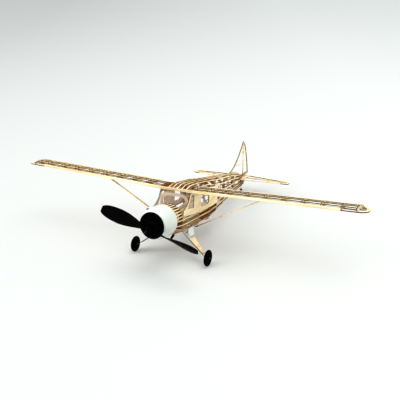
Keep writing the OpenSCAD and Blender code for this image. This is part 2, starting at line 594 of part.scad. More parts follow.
// ---- Motor, peg and propeller, all on the thrust line ----
module peg_plates() color(wood) stance() thrust_frame() both_sides() difference() {
    translate([22.3, peg_along - 9, -5.5]) cube([sheet, 18, 11]);
    translate([0, peg_along, 0]) rod_x(peg_r + 0.05, 0, 60);
}
module motor_peg() color("silver") stance() thrust_frame() translate([0, peg_along, 0]) difference() {
    rod_x(peg_r, -25.4, 25.4);
    rod_x(peg_bore_r, -40, 40);
}
module nose_plug() color(wood) stance() thrust_frame() difference() {
    union() {
        rod_y(plug_r, 1.5, 12.6);
        translate([-key / 2, 12.5, -key / 2]) cube([key, 11.5, key]);
    }
    rod_y(2.1, -50, 50);
}
module thrust_button() color([0.1, 0.1, 0.1]) stance() thrust_frame() difference() {
    union() {
        rod_y(plug_r + 1.8, -1.5, 0.95);
        rod_y(4.4, -4.6, -1.4);
        rod_y(2, 0.9, 26);
    }
    rod_y(shaft_r + wheel_run, -50, 50);
}
module prop_shaft() color("gray") stance() thrust_frame() {
    rod_y(winding_r, shaft_front, winding_back + eps);
    rod_y(shaft_r, winding_back, hook_y - hook_r);
    translate([0, hook_y, 0]) rotate([0, 90, 0]) rotate_extrude()
        translate([hook_r, 0]) circle(r = shaft_r, $fn = 24);
}
// The blade: t is the part of the radius, a section's chord a part of the widest one
BLADE_CHORD = [[0.05, 0.2], [0.1, 0.37], [0.15, 0.51], [0.25, 0.67], [0.35, 0.81], [0.45, 0.93], [0.55, 0.99], [0.62, 1],
    [0.75, 0.955], [0.85, 0.86], [0.9, 0.775], [0.94, 0.68], [0.98, 0.52], [1, 0.39]];
blade_lead = 0.46;          // part of the chord that lies ahead of the pitch axis
blade_camber = 0.04;
function blade_pitch_at(t) = atan2(pitch_ratio / PI, t - 0.065);
function blade_section(t, n) = let (c = blade_chord * lookup(t, BLADE_CHORD), b = blade_pitch_at(t),
    thick = 0.14 - 0.085 * t) [for (i = [0:n - 1]) let (a = 360 * i / n, u = (1 - cos(a)) / 2,
        x = c * (blade_lead - u),
        h = c * (0.5 * thick * sin(a) * (1 - 0.55 * u) + blade_camber * sin(180 * u)))
        [prop_r * t, prop_along - x * sin(b) - h * cos(b), x * cos(b) - h * sin(b)]];
module blade() {
    n = 16;
    ts = [for (i = [0:18]) let (k = i / 18) 0.05 + 0.95 * (1 - pow(1 - k, 1.3))];
    m = len(ts) - 1;
    polyhedron(points = [for (t = ts) each blade_section(t, n)],
        faces = concat([[for (i = [0:n - 1]) i]], [[for (i = [n - 1:-1:0]) m * n + i]],
            [for (j = [0:m - 1], i = [0:n - 1], half = [0, 1]) let (a = j * n + i, b = j * n + (i + 1) % n)
                half == 0 ? [b, a, b + n] : [b + n, a, a + n]]));
}
blade_angle = 14.1;
module propeller() color([0.06, 0.06, 0.07]) stance() thrust_frame() difference() {
    union() {
        rod_y(6, hub_front, hub_back);
        rod_y(3.6, boss_front, hub_front + 0.1);
        for (a = [0, 180]) rotate([0, blade_angle + a, 0]) blade();
    }
    rod_y(shaft_r + eps, -60, 20);
}
// The wound skein runs from the shaft's hook to the peg
skein_r = 4;
module rubber_motor() color("tan") stance() thrust_frame() difference() {
    union() {
        rod_y(skein_r, hook_y + hook_r + 7, peg_along - 6);
        translate([0, hook_y + hook_r + 2.3, 0]) rotate_extrude() translate([4.5, 0]) circle(r = 1.3, $fn = 24);
        translate([0, peg_along, 0]) rotate([0, 90, 0]) rotate_extrude() translate([peg_r + 1.9, 0])
            circle(r = 1.7, $fn = 24);
    }
    translate([0, peg_along, 0]) rod_x(peg_r + 0.1, -30, 30);
}

engine_former();
nose_former();
windscreen_former();
roof_front_former();
cabin_former();
wing_rear_former();
rear_former_1();
rear_former_2();
rear_former_3();
rear_former_4();
rear_former_5();
tail_former();
bottom_keel();
cabin_side_port();
cabin_side_starboard();
cabin_floor();
nose_stringers();
roof_stringers();
side_stringers_port();
side_stringers_starboard();
belly_stringers();
peg_plates();
motor_peg();
cowl();
intake_scoop();
dummy_engine();
exhaust_stub();
windscreen();
side_windows();
wing_ribs_port();
wing_ribs_starboard();
leading_edge_port();
leading_edge_starboard();
trailing_edge_port();
trailing_edge_starboard();
wing_spars_port();
wing_spars_starboard();
wing_tip_port();
wing_tip_starboard();
centre_spars();
wing_struts();
strut_pins();
tailplane_outline();
tailplane_edges_and_ribs();
tailplane_centre_sheet();
fin_outline();
fin_post_and_ribs();
gear_wires();
leg_fairings();
gear_cuffs();
tail_wheel_wire();
wheel_port();
wheel_starboard();
tail_wheel();
wheel_retainers();
nose_plug();
thrust_button();
prop_shaft();
propeller();
rubber_motor();
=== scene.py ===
"""The looks of a rubber-powered balsa model aircraft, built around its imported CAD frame.

Lengths of the model's own pieces are given in millimetres in its level frame (x to port,
y aft along the cowl's centre line, z up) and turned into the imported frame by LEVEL; THRUST
does the same for pieces drawn about the propeller shaft.
"""

import math

import bmesh
import bpy
from mathutils import Matrix, Vector


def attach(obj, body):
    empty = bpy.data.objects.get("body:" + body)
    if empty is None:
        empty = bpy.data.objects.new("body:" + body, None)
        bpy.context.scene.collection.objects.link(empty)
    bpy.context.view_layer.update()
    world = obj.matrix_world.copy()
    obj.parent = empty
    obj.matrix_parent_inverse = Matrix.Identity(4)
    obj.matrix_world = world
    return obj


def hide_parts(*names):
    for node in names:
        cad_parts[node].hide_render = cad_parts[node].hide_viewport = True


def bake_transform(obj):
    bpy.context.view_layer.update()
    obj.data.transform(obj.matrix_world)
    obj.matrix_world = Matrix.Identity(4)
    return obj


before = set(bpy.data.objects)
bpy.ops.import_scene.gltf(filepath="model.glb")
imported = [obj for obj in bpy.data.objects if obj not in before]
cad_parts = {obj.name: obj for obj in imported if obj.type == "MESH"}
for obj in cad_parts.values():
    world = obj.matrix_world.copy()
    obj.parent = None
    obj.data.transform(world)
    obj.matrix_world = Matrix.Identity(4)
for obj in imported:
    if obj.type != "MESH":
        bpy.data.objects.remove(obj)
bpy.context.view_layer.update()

MM = 0.001
STANCE = math.radians(9.681)          # the model sits back on its tail wheel by this much
LEVEL_ORIGIN = Vector((0, -0.2204, 0.10214))    # the middle of the cowl's front, in metres
THRUST_DOWN = math.radians(6)
THRUST_Z = -4.2                       # the thrust line starts this far from the cowl's centre line
DIHEDRAL = math.radians(1.8)
INCIDENCE = math.radians(4.3)

STANCE_TURN = Matrix.Rotation(-STANCE, 4, "X")
LEVEL = Matrix.Translation(LEVEL_ORIGIN) @ STANCE_TURN @ Matrix.Scale(MM, 4)
THRUST = LEVEL @ Matrix.Translation((0, 0, THRUST_Z)) @ Matrix.Rotation(THRUST_DOWN, 4, "X")

AIRFRAME, NOSE_UNIT, AIRSCREW = "airframe", "nose_unit", "airscrew"


# ---- Camera, light and floor ----
def make_camera():
    """The photograph's viewpoint: ahead of the port wing, looking down a little."""
    place = Vector((0.60276, -1.15297, 0.63647))
    right = Vector((0.89235, 0.44869, -0.04935))
    up = Vector((-0.14049, 0.37996, 0.91429))
    camera = bpy.data.objects.new("camera", bpy.data.cameras.new("camera"))
    camera.data.sensor_width = 36
    camera.data.lens = 58.35
    camera.data.clip_end = 60
    turn = Matrix((right, up, right.cross(up))).transposed().to_4x4()
    camera.matrix_world = Matrix.Translation(place) @ turn
    bpy.context.scene.collection.objects.link(camera)
    bpy.context.scene.camera = camera


def area_light(name, place, target, size, power, colour=(1, 1, 1)):
    """A round lamp that shines from one place towards another."""
    lamp = bpy.data.lights.new(name, "AREA")
    lamp.shape = "DISK"
    lamp.size = size
    lamp.energy = power
    lamp.color = colour
    light = bpy.data.objects.new(name, lamp)
    light.location = place
    light.rotation_euler = (Vector(target) - Vector(place)).to_track_quat("-Z", "Y").to_euler()
    bpy.context.scene.collection.objects.link(light)


def make_light():
    """Bright, even surroundings with a soft key light overhead and a fill at the starboard front."""
    world = bpy.data.worlds.new("studio")
    world.use_nodes = True
    surroundings = world.node_tree.nodes["Background"]
    surroundings.inputs["Color"].default_value = (0.97, 1, 0.995, 1)
    surroundings.inputs["Strength"].default_value = 0.82
    bpy.context.scene.world = world
    bpy.context.scene.view_settings.view_transform = "Standard"
    bpy.context.scene.view_settings.look = "Medium High Contrast"
    area_light("key", (0.6, 0.2, 3.0), (0, 0.05, 0.05), 2.6, 32, (1, 0.985, 0.95))
    area_light("fill", (-2.4, -1.8, 2.2), (0, 0, 0.05), 2.4, 42)


def make_floor():
    """A flat sheet of paper far wider than the model."""
    half = 9
    mesh = bpy.data.meshes.new("floor")
    corners = [(-half, -half, 0), (half, -half, 0), (half, half, 0), (-half, half, 0)]
    mesh.from_pydata(corners, [], [(0, 1, 2, 3)])
    floor = bpy.data.objects.new("floor", mesh)
    bpy.context.scene.collection.objects.link(floor)
    floor.data.materials.append(backdrop_paper())


# ---- Materials ----
class Paint:
    """A material's node tree with short ways to add and join nodes."""

    def __init__(self, name):
        self.material = bpy.data.materials.new(name)
        self.material.use_nodes = True
        self.tree = self.material.node_tree
        self.bsdf = self.tree.nodes["Principled BSDF"]

    def add(self, kind, **settings):
        node = self.tree.nodes.new(kind)
        for key, value in settings.items():
            setattr(node, key, value)
        return node

    def link(self, source, target):
        self.tree.links.new(source, target)

    def place(self, scale=(1, 1, 1), turn=(0, 0, 0)):
        """Object coordinates, turned and then scaled."""
        mapping = self.add("ShaderNodeMapping", vector_type="POINT")
        mapping.inputs["Rotation"].default_value = turn
        mapping.inputs["Scale"].default_value = scale
        self.link(self.add("ShaderNodeTexCoord").outputs["Object"], mapping.inputs["Vector"])
        return mapping.outputs["Vector"]

    def normal(self):
        """The direction in which a face really looks, without smoothing."""
        return self.add("ShaderNodeNewGeometry").outputs["True Normal"]

    def along(self, vector, direction):
        """How far a vector reaches along a direction."""
        node = self.add("ShaderNodeVectorMath", operation="DOT_PRODUCT")
        self.link(vector, node.inputs[0])
        node.inputs[1].default_value = direction
        return node.outputs["Value"]

    def absolute(self, value):
        node = self.add("ShaderNodeMath", operation="ABSOLUTE")
        self.link(value, node.inputs[0])
        return node.outputs["Value"]

    def noise(self, vector, scale, detail=4.0, roughness=0.55):
        node = self.add("ShaderNodeTexNoise")
        node.inputs["Scale"].default_value = scale
        node.inputs["Detail"].default_value = detail
        node.inputs["Roughness"].default_value = roughness
        self.link(vector, node.inputs["Vector"])
        return node.outputs["Fac"]

    def ramp(self, factor, *stops):
        """A colour picked by factor from stops of (place, colour)."""
        node = self.add("ShaderNodeValToRGB")
        while len(node.color_ramp.elements) < len(stops):
            node.color_ramp.elements.new(0.5)
        for element, (place, colour) in zip(node.color_ramp.elements, stops):
            element.position = place
            element.color = (*colour, 1)
        self.link(factor, node.inputs["Fac"])
        return node.outputs["Color"]

    def span(self, value, low, high, to_low=0.0, to_high=1.0):
        """A value from low to high turned into one from to_low to to_high, and held at the ends."""
        node = self.add("ShaderNodeMapRange")
        node.inputs["From Min"].default_value = low
        node.inputs["From Max"].default_value = high
        node.inputs["To Min"].default_value = to_low
        node.inputs["To Max"].default_value = to_high
        self.link(value, node.inputs["Value"])
        return node.outputs["Result"]

    def fill(self, socket, value):
        """Gives a socket a number, a colour or another node's output."""
        if isinstance(value, (int, float)):
            socket.default_value = value
        elif isinstance(value, tuple):
            socket.default_value = (*value, 1)
        else:
            self.link(value, socket)

    def mix(self, factor, a, b, blend="MIX"):
        node = self.add("ShaderNodeMix", data_type="RGBA", blend_type=blend)
        self.fill(node.inputs["Factor"], factor)
        self.fill(node.inputs["A"], a)
        self.fill(node.inputs["B"], b)
        return node.outputs["Result"]

    def bump(self, height, strength, distance):
        node = self.add("ShaderNodeBump")
        node.inputs["Strength"].default_value = strength
        node.inputs["Distance"].default_value = distance
        self.link(height, node.inputs["Height"])
        self.link(node.outputs["Normal"], self.bsdf.inputs["Normal"])

    def set(self, **values):
        """Fills the shader's own sockets; an underscore stands for a space in a socket's name."""
        for name, value in values.items():
            self.fill(self.bsdf.inputs[name.replace("_", " ")], value)


def backdrop_paper():
    """Pale paper with painted shade that darkens it a little towards the studio's starboard side."""
    paint = Paint("backdrop_paper")
    across = paint.along(paint.place(), (0.9, 0.45, 0))
    # Painted shade: the paper's colour goes darker towards the starboard side
    side = paint.span(across, -1.2, 0.6)
    paint.set(Base_Color=paint.mix(side, (0.585, 0.59, 0.585), (0.715, 0.73, 0.725)))
    paint.set(Roughness=0.9, Specular_IOR_Level=0.1)
    return paint.material


CREAM = (1.0, 0.80, 0.46)
CREAM_DARK = (0.76, 0.50, 0.22)
CREAM_PALE = (1.0, 0.96, 0.74)
SHADE_TINT = (0.27, 0.125, 0.045)
CHAR = (0.030, 0.011, 0.004)
CHAR_LIGHT = (0.11, 0.045, 0.016)
PAINTED_BLACK = (0.002, 0.002, 0.002)
# The painted shade of an inside takes in the surfaces that are nearer than this, in metres
SHADE_REACH = 0.085
# A fibre's width as a part of its length
GRAIN_STRETCH = 0.035


def balsa(paint, grain, shade=1.0):
    """Cream wood with long raised fibres along the grain axis (0 x, 1 y, 2 z); returns its colour.

    shade is how strongly painted shade darkens the wood where other pieces close it in.
    """
    stretch = [1.0, 1.0, 1.0]
    stretch[grain] = GRAIN_STRETCH
    along_grain = paint.place(tuple(stretch), (STANCE, 0, 0))
    fibres = paint.noise(along_grain, 900, 5, 0.65)
    streaks = paint.noise(along_grain, 170, 3)
    clouds = paint.noise(paint.place(), 22, 2)
    body = paint.ramp(streaks, (0.30, CREAM_DARK), (0.50, CREAM), (0.72, CREAM_PALE))
    body = paint.mix(paint.span(fibres, 0.42, 0.70, 0.0, 0.42), body, CREAM_DARK)
    body = paint.mix(paint.span(clouds, 0.40, 0.65, 0.0, 0.30), body, CREAM_PALE)
    paint.bump(fibres, 0.35, 0.00025)
    # Painted shade: the colour is multiplied by SHADE_TINT where ambient occlusion finds other pieces close
    # by
    openness = paint.add("ShaderNodeAmbientOcclusion", samples=8)
    openness.inputs["Distance"].default_value = SHADE_REACH
    painted_shade = paint.span(openness.outputs["AO"], 0.48, 0.86, shade, 0.0)
    return paint.mix(painted_shade, body, paint.mix(1.0, body, SHADE_TINT, "MULTIPLY"))


def strip_wood(name, grain):
    paint = Paint(name)
    paint.set(Base_Color=balsa(paint, grain), Roughness=0.62, Specular_IOR_Level=0.3)
    return paint.material


def laser_wood(name, grain, sheet_normal, char=1.0, shade=1.0):
    """Sheet balsa whose cut edges, the faces square to the sheet, are burnt brown.

    char is how strongly the edges are burnt.
    """
    paint = Paint(name)
    colour = balsa(paint, grain, shade)
    facing = paint.absolute(paint.along(paint.normal(), sheet_normal))
    uneven = paint.noise(paint.place(), 260, 3)
    burnt = paint.ramp(uneven, (0.35, CHAR), (0.70, CHAR_LIGHT))
    edge = paint.span(facing, 0.45, 0.75, char, 0.0)
    paint.set(Base_Color=paint.mix(edge, colour, burnt), Specular_IOR_Level=0.25)
    paint.set(Roughness=paint.span(edge, 0, 1, 0.64, 0.85))
    return paint.material


def plug_wood():
    """Plain wood whose front face, turned towards the propeller, is painted black."""
    paint = Paint("plug_wood")
    front = paint.span(paint.along(paint.normal(), stance_vector(0, -1, 0)), 0.3, 0.6)
    paint.set(Base_Color=paint.mix(front, balsa(paint, 1), PAINTED_BLACK))
    paint.set(Roughness=0.6, Specular_IOR_Level=0.1)
    return paint.material


def white_plastic():
    paint = Paint("white_moulding")
    haze = paint.noise(paint.place(), 14, 3)
    paint.set(Base_Color=paint.ramp(haze, (0.35, (0.66, 0.72, 0.67)), (0.65, (0.73, 0.78, 0.73))))
    paint.set(Roughness=paint.span(haze, 0.3, 0.7, 0.16, 0.26), Coat_Weight=0.35, Coat_Roughness=0.08)
    paint.bump(haze, 0.25, 0.0008)
    return paint.material


def black_plastic(name, tone, rough, texture, shine):
    """Black moulding; texture is the strength of its grain and shine that of its reflections."""
    paint = Paint(name)
    grain = paint.noise(paint.place(), 700, 4, 0.6)
    flow = paint.noise(paint.place(), 30, 3)
    paint.set(Base_Color=paint.ramp(flow, (0.3, (tone, tone, tone)), (0.7, (tone * 1.5,) * 3)))
    paint.set(Roughness=paint.span(flow, 0.3, 0.7, rough, rough + 0.12), Specular_IOR_Level=shine)
    paint.bump(grain, texture, 0.0003)
    return paint.material


def clear_plastic():
    """Thin clear sheet that is all but invisible face on and shows more at a slant; the pale colour that
    shows at a slant is painted reflection.
    """
    paint = Paint("clear_moulding")
    slant = paint.add("ShaderNodeLayerWeight")
    slant.inputs["Blend"].default_value = 0.35
    smear = paint.noise(paint.place(), 60, 3)
    paint.set(Base_Color=(0.95, 0.95, 0.91), Coat_Weight=0.5, Coat_Roughness=0.02)
    paint.set(Roughness=paint.span(smear, 0.3, 0.7, 0.03, 0.10))
    # Painted reflection: more of the pale base colour shows where the sheet is seen at a slant
    paint.set(Alpha=paint.span(slant.outputs["Facing"], 0.0, 1.0, 0.02, 0.22))
    paint.bump(smear, 0.1, 0.0003)
    return paint.material


def metal(name, colour, rough):
    paint = Paint(name)
    drawn = paint.noise(paint.place(), 420, 4)
    dark = tuple(c * 0.75 for c in colour)
    paint.set(Base_Color=paint.ramp(drawn, (0.3, dark), (0.7, colour)), Metallic=1.0)
    paint.set(Roughness=paint.span(drawn, 0.3, 0.7, rough, rough + 0.18))
    paint.bump(drawn, 0.2, 0.0001)
    return paint.material


def rubber():
    paint = Paint("strip_rubber")
    tone = paint.noise(paint.place(), 150, 4)
    paint.set(Base_Color=paint.ramp(tone, (0.3, (0.44, 0.30, 0.15)), (0.7, (0.62, 0.47, 0.27))))
    paint.set(Roughness=paint.span(tone, 0.3, 0.7, 0.32, 0.5), Subsurface_Weight=0.15)
    paint.bump(tone, 0.3, 0.0003)
    return paint.material


def stance_vector(x, y, z):
    """A direction in the level frame as it points once the model stands on its wheels."""
    return tuple(STANCE_TURN.to_3x3() @ Vector((x, y, z)))


def wing_normal(side):
    """The way up from a wing panel; side is 1 for port and -1 for starboard."""
    tilt = STANCE + INCIDENCE
    return (-side * math.sin(DIHEDRAL), math.sin(tilt), math.cos(tilt))


def finish_cad():
    """Gives every CAD node its material and returns the materials of the nodes named here."""
    across = stance_vector(0, 1, 0)
    flat = stance_vector(0, 0, 1)
    upright = (1, 0, 0)
    former_wood = laser_wood("former_sheet", 2, across)
    cabin_wood = laser_wood("cabin_sheet", 2, across, shade=0.5)
    side_wood = laser_wood("side_sheet", 1, upright, char=0.92, shade=0.6)
    rib_wood = laser_wood("rib_sheet", 1, upright)
    long_strip = strip_wood("long_strip", 1)
    span_strip = strip_wood("span_strip", 0)
    satin_black = black_plastic("satin_black", tone=0.0008, rough=0.45, texture=0.3, shine=0.05)
    gloss_black = black_plastic("gloss_black", tone=0.0003, rough=0.4, texture=0.05, shine=0.03)
    tyre = black_plastic("wheel_plastic", tone=0.0004, rough=0.55, texture=0.2, shine=0.015)
    wire = metal("music_wire", (0.16, 0.15, 0.14), 0.32)
    groups = (
        (side_wood, "bottom_keel", "cabin_side_port", "cabin_side_starboard"),
        (laser_wood("floor_sheet", 1, flat, shade=0.3), "cabin_floor"),
        (laser_wood("fin_sheet", 2, upright), "fin_outline"),
        (laser_wood("tail_sheet", 0, flat), "tailplane_outline"),
        (long_strip, "peg_plates", "tailplane_centre_sheet", "fin_post_and_ribs", "leg_fairings"),
        (span_strip, "tailplane_edges_and_ribs", "centre_spars", "wing_struts"),
        (plug_wood(), "nose_plug"),
        (white_plastic(), "cowl", "intake_scoop", "gear_cuffs"),
        (clear_plastic(), "windscreen", "side_windows"),
        (satin_black, "exhaust_stub", "strut_pins", "dummy_engine"),
        (gloss_black, "thrust_button", "propeller"),
        (tyre, "wheel_port", "wheel_starboard", "tail_wheel"),
        (wire, "gear_wires", "tail_wheel_wire", "prop_shaft", "wheel_retainers"),
        (metal("peg_tube", (0.78, 0.79, 0.80), 0.25), "motor_peg"),
        (rubber(), "rubber_motor"),
    )
    finishes = {node: finish for finish, *nodes in groups for node in nodes}
    for side, word in ((1, "port"), (-1, "starboard")):
        wing_sheet = laser_wood("wing_sheet_" + word, 0, wing_normal(side))
        for node in ("trailing_edge_", "wing_spars_", "wing_tip_"):
            finishes[node + word] = wing_sheet
        finishes["wing_ribs_" + word] = rib_wood
        finishes["leading_edge_" + word] = span_strip
    for node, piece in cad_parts.items():
        if node in ("roof_front_former", "cabin_former"):
            finish = cabin_wood
        elif "former" in node:
            finish = former_wood
        elif "stringers" in node:
            finish = long_strip
        else:
            finish = finishes[node]
        for slot in piece.material_slots:
            slot.material = finish
    return finishes


# ---- Mesh helpers ----
SHARP_ANGLE = math.radians(35)
TUBE_STEPS = 14
TUBE_BEVEL = 0.35             # the rounding of a tube's ends, as a part of its radius
AXIS_HOLE = 0.02              # a tube's ends stay open by this part of its radius
BOX_BEVEL = 0.25              # a box's cut edges, as a part of its smallest half size
RIBBON_STEPS = 12
RIBBON_ROUNDING = 0.6         # 1 gives an oval section, less comes nearer to a rectangle


def new_piece(name, mesh, material, body, slot, *replaced):
    """Wraps a finished bmesh as a smooth-shaded piece that rides on a body, if one is given."""
    bmesh.ops.recalc_face_normals(mesh, faces=mesh.faces)
    data = bpy.data.meshes.new(name)
    mesh.to_mesh(data)
    mesh.free()
    data.shade_smooth()
    data.set_sharp_from_angle(angle=SHARP_ANGLE)
    data.materials.append(material)
    piece = bpy.data.objects.new(name, data)
    bpy.context.scene.collection.objects.link(piece)
    if body:
        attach(piece, body)
    if replaced:
        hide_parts(*replaced)
    return piece


def add_loft(mesh, rings):
    """Skins a list of equally long closed rings of points and caps both ends."""
    rows = [[mesh.verts.new(p) for p in ring] for ring in rings]
    count = len(rows[0])
    for a, b in zip(rows, rows[1:]):
        for i in range(count):
            j = (i + 1) % count
            mesh.faces.new((a[i], a[j], b[j], b[i]))
    mesh.faces.new(rows[0][::-1])
    mesh.faces.new(rows[-1])


def add_lathe(mesh, place, profile, steps):
    """Turns a closed outline of (radius, along) points about the local y axis."""
    rows = []
    for i in range(steps):
        a = 2 * math.pi * i / steps
        ring = [place @ Vector((r * math.cos(a), y, r * math.sin(a))) for r, y in profile]
        rows.append([mesh.verts.new(p) for p in ring])
    for i in range(steps):
        a, b = rows[i], rows[(i + 1) % steps]
        for k in range(len(profile)):
            n = (k + 1) % len(profile)
            mesh.faces.new((a[k], a[n], b[n], b[k]))


def add_tube(mesh, place, a, b, radius):
    """A rod with rounded ends between two points."""
    a, b = Vector(a), Vector(b)
    length = (b - a).length
    turn = (b - a).to_track_quat("Y", "Z").to_matrix().to_4x4()
    bevel = radius * TUBE_BEVEL
    middle = radius * AXIS_HOLE
    profile = [(middle, 0), (radius - bevel, 0), (radius, bevel), (radius, length - bevel),
               (radius - bevel, length), (middle, length)]
    add_lathe(mesh, place @ Matrix.Translation(a) @ turn, profile, TUBE_STEPS)


def add_box(mesh, place, centre, half):
    """A box with its twelve edges taken off; half holds half its size each way."""
    cx, cy, cz = centre
    hx, hy, hz = half
    edge = min(half) * BOX_BEVEL
    rings = []
    for y, inset in ((-hy, edge), (-hy + edge, 0), (hy - edge, 0), (hy, edge)):
        ring = []
        for sx, sz in ((1, 1), (-1, 1), (-1, -1), (1, -1)):
            corner = [(sx * (hx - inset), sz * (hz - inset - edge)),
                      (sx * (hx - inset - edge), sz * (hz - inset))]
            ring += corner if sx * sz > 0 else corner[::-1]
        rings.append([place @ Vector((cx + x, cy + y, cz + z)) for x, z in ring])
    add_loft(mesh, rings)


def rounded(part):
    """A cosine or sine drawn out towards the corners of a rectangle."""
    return math.copysign(abs(part) ** RIBBON_ROUNDING, part)


def add_ribbon(mesh, place, path, width, height):
    """A strip with rounded edges along a path of points, each with the strip's flat-side normal."""
    rings = []
    last = len(path) - 1
    for i, (point, normal) in enumerate(path):
        ahead = (path[min(i + 1, last)][0] - path[max(i - 1, 0)][0]).normalized()
        side = ahead.cross(normal).normalized()
        up = side.cross(ahead)
        ring = []
        for k in range(RIBBON_STEPS):
            a = 2 * math.pi * k / RIBBON_STEPS
            across = rounded(math.cos(a)) * width / 2
            above = rounded(math.sin(a)) * height / 2
            ring.append(place @ (point + side * across + up * above))
        rings.append(ring)
    add_loft(mesh, rings)


def ease(t):
    """Goes from 0 to 1 with a soft start and a soft end."""
    return t * t * (3 - 2 * t)


# ---- Propeller ----
PROP_R = 108
PROP_ALONG = -9               # the blades' pitch axis, along the shaft
SHAFT_R = 0.8
SHAFT_GAP = 0.05
BLADE_TURN = math.radians(14.1)
BLADE_CHORD = 28.5
BLADE_LEAD = 0.46             # part of the chord that lies ahead of the pitch axis
BLADE_CAMBER = 0.04
PITCH_RATIO = 1.47            # pitch as a part of the diameter
PITCH_CENTRE = 0.065          # the twist is reckoned from this part of the radius
THICK_ROOT = 0.14             # thickness as a part of the chord, at the shaft
THICK_DROP = 0.085            # and how much of that is gone at the tip
EDGE_THINNING = 0.55          # how much thinner a section gets towards its trailing edge
BLADE_ROWS = 56
TIP_CROWDING = 1.3            # above 1, the rows lie closer together towards the tip
SECTION_STEPS = 48
# Chord along the blade: (part of the radius, part of the widest chord)
CHORDS = ((0.05, 0.20), (0.10, 0.37), (0.15, 0.51), (0.25, 0.67), (0.35, 0.81), (0.45, 0.93),
          (0.55, 0.99), (0.62, 1.0), (0.75, 0.955), (0.85, 0.86), (0.90, 0.775), (0.94, 0.68),
          (0.98, 0.52), (1.0, 0.39))
BOSS_FRONT = -16.4
RAMP_RISE = 0.3
RAMP_START = math.radians(20)
RAMP_SWEEP = math.radians(110)
RAMP_STEPS = 12


def chord_at(t):
    """The blade's chord at a part of the radius, between the two nearest entries of CHORDS."""
    for (t0, c0), (t1, c1) in zip(CHORDS, CHORDS[1:]):
        if t <= t1:
            break
    return BLADE_CHORD * (c0 + (c1 - c0) * (t - t0) / (t1 - t0))


def blade_section(t):
    """One closed, cambered and twisted section of a blade, as in the CAD."""
    chord = chord_at(t)
    pitch = math.atan2(PITCH_RATIO / math.pi, t - PITCH_CENTRE)
    thick = THICK_ROOT - THICK_DROP * t
    ring = []
    for i in range(SECTION_STEPS):
        a = 2 * math.pi * i / SECTION_STEPS
        u = (1 - math.cos(a)) / 2
        x = chord * (BLADE_LEAD - u)
        skin = 0.5 * thick * math.sin(a) * (1 - EDGE_THINNING * u)
        h = chord * (skin + BLADE_CAMBER * math.sin(math.pi * u))
        ring.append(Vector((PROP_R * t, PROP_ALONG - x * math.sin(pitch) - h * math.cos(pitch),
                            x * math.cos(pitch) - h * math.sin(pitch))))
    return ring


def add_blade(mesh, place):
    root = CHORDS[0][0]
    sections = []
    for k in range(BLADE_ROWS + 1):
        t = root + (1 - root) * (1 - (1 - k / BLADE_ROWS) ** TIP_CROWDING)
        sections.append([place @ p for p in blade_section(t)])
    add_loft(mesh, sections)


def add_hub(mesh):
    """The hub barrel with a shallow moulded groove, then the narrow boss of the free-wheel."""
    bore = SHAFT_R + SHAFT_GAP
    barrel = [(bore, -14.5), (5.5, -14.5), (5.9, -14.2), (6.0, -13.7), (6.0, -10.6), (5.7, -10.3),
              (5.7, -9.1), (6.0, -8.8), (6.0, -5.6), (5.8, -5.15), (5.4, -5), (bore, -5)]
    boss = [(bore, BOSS_FRONT), (3.2, BOSS_FRONT), (3.5, -16.2), (3.6, -15.9), (3.6, -14.4), (bore, -14.4)]
    add_lathe(mesh, THRUST, barrel, 72)
    add_lathe(mesh, THRUST, boss, 48)


def add_ramp(mesh, place):
    """A low ramp round part of the boss's front, all that is drawn of the free-wheel's catch."""
    inner, outer = 1.4, 3.3
    back = BOSS_FRONT + 0.1
    rings = []
    for k in range(RAMP_STEPS + 1):
        a = RAMP_START + RAMP_SWEEP * k / RAMP_STEPS
        front = BOSS_FRONT - RAMP_RISE * k / RAMP_STEPS
        rings.append([place @ Vector((r * math.cos(a), y, r * math.sin(a)))
                      for r, y in ((inner, back), (outer, back), (outer, front), (inner, front))])
    add_loft(mesh, rings)


def make_propeller(material):
    mesh = bmesh.new()
    for turn in (0, math.pi):
        add_blade(mesh, THRUST @ Matrix.Rotation(BLADE_TURN + turn, 4, "Y"))
    add_hub(mesh)
    for turn in (0, math.pi):
        add_ramp(mesh, THRUST @ Matrix.Rotation(turn, 4, "Y"))
    return new_piece("propeller_moulding", mesh, material, AIRSCREW, "black_plastic", "propeller")


# ---- Dummy engine ----
CYLINDERS = 9
CYLINDER_ALONG = 8            # from the cowl's front aft to the cylinders' middle
CYLINDER_R = 2.9
FIN_R = 3.9
FINS = 8
FIRST_FIN = 12.6
FIN_PITCH = 0.95
CRANKCASE_R = 12.5
CRANKCASE_BORE = 9.4
TUB_HOLE_R = 12.6


def add_tub(mesh):
    """The moulding's rim and the tub behind it, whose back plate has a hole for the crankcase."""
    rim = [(23.7, 2.9), (24.2, 2.65), (26.3, 2.6), (26.6, 2.9), (26.6, 4.4), (26.3, 4.7)]
    tub = [(24.9, 4.7), (24.9, 13.6), (TUB_HOLE_R, 13.6), (TUB_HOLE_R, 11.4), (23.6, 11.4)]
    add_lathe(mesh, LEVEL, rim + tub, 120)


def add_crankcase(mesh):
    """The crankcase with its stepped nose, and the web that joins it to the tub's back plate.

    The thrust line lies below the cowl's centre line, so without the web a gap would show.
    """
    nose = [(CRANKCASE_BORE, 1.2), (9.8, 1.0), (10.7, 1.1), (10.9, 1.7), (11.6, 2.0), (12.3, 2.8)]
    case = [(CRANKCASE_R, 3.8), (CRANKCASE_R, 12.6), (CRANKCASE_BORE, 12.6)]
    web = [(CRANKCASE_BORE, 9.4), (18.5, 9.4), (18.5, 10.4), (CRANKCASE_BORE, 10.4)]
    add_lathe(mesh, THRUST, nose + case, 96)
    add_lathe(mesh, THRUST, web, 96)


